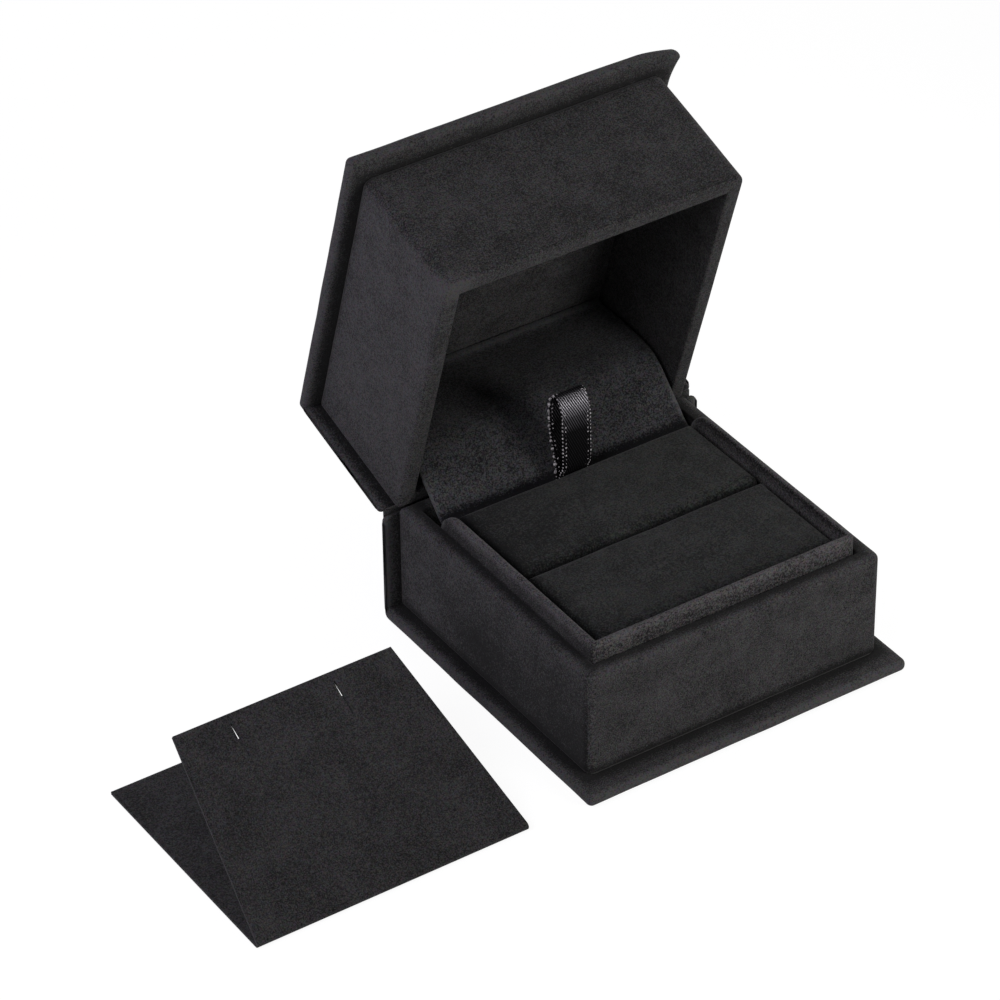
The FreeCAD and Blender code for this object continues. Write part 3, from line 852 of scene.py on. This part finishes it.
# Between the ribs the yarn is dark and dull. The ribs are a painted highlight: light and mirror-like only near the
# top of the loop, where the light falls, and painted dark lower down.
height = add_node(tree, "ShaderNodeSeparateXYZ", {"Vector": place})
top_highlight = add_node(tree, "ShaderNodeMapRange", {
    "Value": height.outputs["Z"], "From Min": loop_top - 6.5 * MM, "From Max": loop_top - 2.5 * MM,
    "To Min": 0.35, "To Max": 1.0})
shine = add_node(tree, "ShaderNodeMath", {
    0: ribs.outputs["Fac"], 1: top_highlight.outputs["Result"]}, operation="MULTIPLY")
lit = add_node(tree, "ShaderNodeMapRange", {
    "Value": shine.outputs[0], "From Min": 0.3, "From Max": 0.7}).outputs["Result"]
tree.links.new(tint(tree, lit, "#060607", "#7d7b81"), shader.inputs["Base Color"])
# The tight, flat filaments on top of a rib mirror the light as foil does.
tree.links.new(lit, shader.inputs["Metallic"])
emboss(tree, shader, ribs.outputs["Fac"], strength=1.0, depth=0.05)
shader.inputs["Roughness"].default_value = 0.33
shader.inputs["Specular IOR Level"].default_value = 0.15

thread, tree, shader, place = new_material("glossy_edge_thread")
ply = cloudy(tree, place, 0.6, detail=1.0).outputs["Fac"]
tree.links.new(tint(tree, ply, "#58555a", "#f4eef2"), shader.inputs["Base Color"])
shader.inputs["Roughness"].default_value = 0.25
shader.inputs["Specular IOR Level"].default_value = 0.9

line = bpy.data.curves.new("ribbon_route", "CURVE")
line.dimensions = "3D"
spline = line.splines.new("POLY")
spline.points.add(len(route) - 1)
for control, at in zip(spline.points, route):
    control.co = (ribbon_middle, at.x, at.y, 1.0)
route_object = bpy.data.objects.new("ribbon_route", line)
bpy.context.scene.collection.objects.link(route_object)
ribbon = grown("satin_pull_ribbon", route_object, ribbon_tree("bound_ribbon"), {
    "Width": ribbon_width, "Thickness": ribbon_thick, "Bead pitch": 0.75 * MM,
    "Bead size": 0.17 * MM, "Loops behind": (loop_front + loop_rear) / 2,
    "Strip": satin, "Thread": thread})
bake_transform(ribbon)
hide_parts("ribbon_tail", "ribbon_loop")

# ---------------------------------------------------------------- insert card
# A folded card for earrings or a pendant, flocked all over with short black fibres. Its
# upper leaf is cut a little narrower towards its end and has two slits, which gape most in
# the middle.
leaf_low, leaf_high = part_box("insert_leaf_lower")
fold = next(j for j in frame["joints"] if j["name"] == "leaf_fold")
fold_at = Vector(fold["pos_m"])
card = leaf_high.z - leaf_low.z
half = (leaf_high.x - leaf_low.x) / 2
middle_x = (leaf_high.x + leaf_low.x) / 2
leaf_angle = math.radians(28.0)
leaf_length = 37.0 * MM
leaf_taper = 4.95 * MM
slit_apart = 19.6 * MM
slit_length = 6.4 * MM
slit_open = 0.2 * MM
slit_gape = 0.08 * MM
slit_margin = 1.8 * MM
slit_shift = 1.0 * MM       # the slits lie left of the leaf's middle
fold_radius = fold_at.z - card / 2

# Each row across the card has its place in Y and Z, half its width, and how far up the
# upper leaf it lies, which is below 0 off that leaf.
off_leaf = -1.0
fold_steps, upper_steps = 12, 40
sheet_rows = []
for y in evenly(leaf_high.y, fold_at.y, parts=46):
    sheet_rows.append((Vector((y, card / 2)), half, off_leaf))
for k in range(1, fold_steps + 1):
    angle = math.radians(-90) - (math.pi - leaf_angle) * k / fold_steps
    sheet_rows.append((Vector((fold_at.y + fold_radius * math.cos(angle),
                               fold_at.z + fold_radius * math.sin(angle))), half, off_leaf))
start = sheet_rows[-1][0]
along = Vector((math.cos(leaf_angle), math.sin(leaf_angle)))
slit_from = leaf_length - slit_margin - slit_length
slit_to = slit_from + slit_length
stations = [leaf_length * k / upper_steps for k in range(1, upper_steps + 1)]
for reach in sorted(set(stations + [slit_from, slit_to])):
    sheet_rows.append((start + along * reach, half - leaf_taper * reach / leaf_length, reach))

work = bmesh.new()
grid = []
side_cells, middle_cells = 14, 20
for at, reach_x, reach in sheet_rows:
    opened = slit_open / 2
    if slit_from < reach < slit_to:
        part = (reach - slit_from) / slit_length
        opened += slit_gape * math.sin(math.pi * part)
    inner, outer = slit_apart / 2 - opened, slit_apart / 2 + opened
    columns = evenly(-reach_x, -outer - slit_shift, side_cells)
    columns += evenly(-inner - slit_shift, inner - slit_shift, middle_cells)
    columns += evenly(outer - slit_shift, reach_x, side_cells)
    grid.append([work.verts.new((middle_x + x, at.x, at.y)) for x in columns])
slit_columns = (side_cells, side_cells + 1 + middle_cells)
for i in range(len(grid) - 1):
    inside = slit_from <= sheet_rows[i][2] < slit_to - 1e-7
    for j in range(len(grid[0]) - 1):
        if inside and j in slit_columns:
            continue
        work.faces.new((grid[i][j], grid[i][j + 1], grid[i + 1][j + 1], grid[i + 1][j]))
bmesh.ops.recalc_face_normals(work, faces=work.faces)
mesh = bpy.data.meshes.new("insert_card")
work.to_mesh(mesh)
work.free()
insert = bpy.data.objects.new("flocked_insert_card", mesh)
bpy.context.scene.collection.objects.link(insert)
thicken = insert.modifiers.new("card", "SOLIDIFY")
thicken.thickness = card
thicken.offset = 0.0
thicken.use_even_offset = True
soften = insert.modifiers.new("edges", "BEVEL")
soften.width = 0.12 * MM
soften.segments = 2
soften.limit_method = "ANGLE"
bpy.context.view_layer.update()
evaluated = insert.evaluated_get(bpy.context.evaluated_depsgraph_get())
flat_mesh = bpy.data.meshes.new_from_object(evaluated)
insert.modifiers.clear()
insert.data = flat_mesh
for polygon in insert.data.polygons:
    polygon.use_smooth = True
flock = suede("black_rayon_flock", "#121212", "#3d3c3d", nap=7.0, sheen=0.1, relief=0.06)
insert.data.materials.append(flock)
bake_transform(insert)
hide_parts("insert_leaf_lower", "insert_leaf_upper", "insert_fold")

# ---------------------------------------------------------------- stage, lights and camera
# A white sweep under plain soft light: softboxes at the front, at the left and behind, and
# small ones close by on both sides, of which the left one is a little violet.
floor_mesh = bpy.data.meshes.new("floor")
half_floor = 3.0
floor_corners = [(x * half_floor, y * half_floor, 0)
                 for x, y in ((-1, -1), (1, -1), (1, 1), (-1, 1))]
floor_mesh.from_pydata(floor_corners, [], [(0, 1, 2, 3)])
floor = bpy.data.objects.new("floor", floor_mesh)
floor.location.z = -0.2 * MM      # clear of the wraps' uneven undersides
bpy.context.scene.collection.objects.link(floor)
paper = bpy.data.materials.new("white_backdrop_paper")
paper.use_nodes = True
tree = paper.node_tree
shader = tree.nodes["Principled BSDF"]
shader.inputs["Base Color"].default_value = linear("#e6e6e6")
shader.inputs["Roughness"].default_value = 0.9
shader.inputs["Specular IOR Level"].default_value = 0.0
# Rays from the camera, straight, mirrored or let through, see it mostly as plain white.
path = add_node(tree, "ShaderNodeLightPath", {})
seen = add_node(tree, "ShaderNodeMath", {
    0: path.outputs["Is Camera Ray"], 1: path.outputs["Is Glossy Ray"]}, operation="MAXIMUM")
seen = add_node(tree, "ShaderNodeMath", {
    0: seen.outputs[0], 1: path.outputs["Is Transmission Ray"]}, operation="MAXIMUM")
share = add_node(tree, "ShaderNodeMath", {0: seen.outputs[0], 1: 0.8}, operation="MULTIPLY")
glow = add_node(tree, "ShaderNodeEmission", {"Color": (1, 1, 1, 1), "Strength": 1.15})
blend = add_node(tree, "ShaderNodeMixShader", {
    0: share.outputs[0], 1: shader.outputs[0], 2: glow.outputs[0]})
tree.links.new(blend.outputs[0], tree.nodes["Material Output"].inputs["Surface"])
floor.data.materials.append(paper)

world = bpy.data.worlds.new("studio")
bpy.context.scene.world = world
world.use_nodes = True
tree = world.node_tree
path = add_node(tree, "ShaderNodeLightPath", {})
level = add_node(tree, "ShaderNodeMapRange", {
    "Value": path.outputs["Is Camera Ray"], "To Min": 0.12, "To Max": 1.0})
tree.nodes["Background"].inputs["Color"].default_value = (1, 1, 1, 1)
tree.links.new(level.outputs["Result"], tree.nodes["Background"].inputs["Strength"])


def softbox(name, at, aim, size, power, colour):
    """A square area light that faces a point."""
    light = bpy.data.lights.new(name, "AREA")
    light.shape = "SQUARE"
    light.size = size
    light.energy = power
    light.color = linear(colour)[:3]
    lamp = bpy.data.objects.new(name, light)
    lamp.location = at
    lamp.rotation_euler = (Vector(aim) - Vector(at)).to_track_quat("-Z", "Y").to_euler()
    lamp.visible_camera = False
    bpy.context.scene.collection.objects.link(lamp)


mouth = (-0.02, 0.02, 0.04)
middle = (0, 0, 0.03)
softbox("front_right", (0.12, -0.3, 0.12), mouth, size=0.12, power=0.5, colour="#fffdfb")
softbox("left", (-0.58, -0.17, 0.55), middle, size=0.4, power=2.5, colour="#fbf9ff")
softbox("close_left", (-0.134, 0.066, 0.122), mouth, size=0.07, power=0.04, colour="#e6dcff")
softbox("close_right", (0.14, 0.02, 0.1), mouth, size=0.07, power=0.065, colour="#fffdfb")
softbox("behind", (0.1, 0.7, 0.45), middle, size=0.4, power=1.2, colour="#ffffff")

# The camera is placed by its bearing, height angle, roll and distance from a point in the
# box, with a small slide sideways and up that keeps both pieces in the picture.
bearing, height_angle, roll = (math.radians(a) for a in (-33.13, 36.12, -0.82))
aim = Vector((0, 0, 0.025))
distance, slide_x, slide_y = 0.80613, 0.02403, -0.00427
focal_pixels, picture = 4821.8, 1000
backwards = Vector((math.sin(bearing) * math.cos(height_angle),
                    -math.cos(bearing) * math.cos(height_angle), math.sin(height_angle)))
level_right = Vector((math.cos(bearing), math.sin(bearing), 0))
level_up = backwards.cross(level_right)
right = level_right * math.cos(roll) + level_up * math.sin(roll)
up = level_up * math.cos(roll) - level_right * math.sin(roll)
camera_data = bpy.data.cameras.new("camera")
camera_data.sensor_width = 36.0
camera_data.lens = focal_pixels / picture * camera_data.sensor_width
camera_data.clip_start = 0.01
camera = bpy.data.objects.new("camera", camera_data)
turn = Matrix((right, up, backwards)).transposed().to_4x4()
at = aim - right * slide_x - up * slide_y + backwards * distance
camera.matrix_world = Matrix.Translation(at) @ turn
bpy.context.scene.collection.objects.link(camera)
bpy.context.scene.camera = camera
bpy.context.scene.view_settings.view_transform = "Standard"
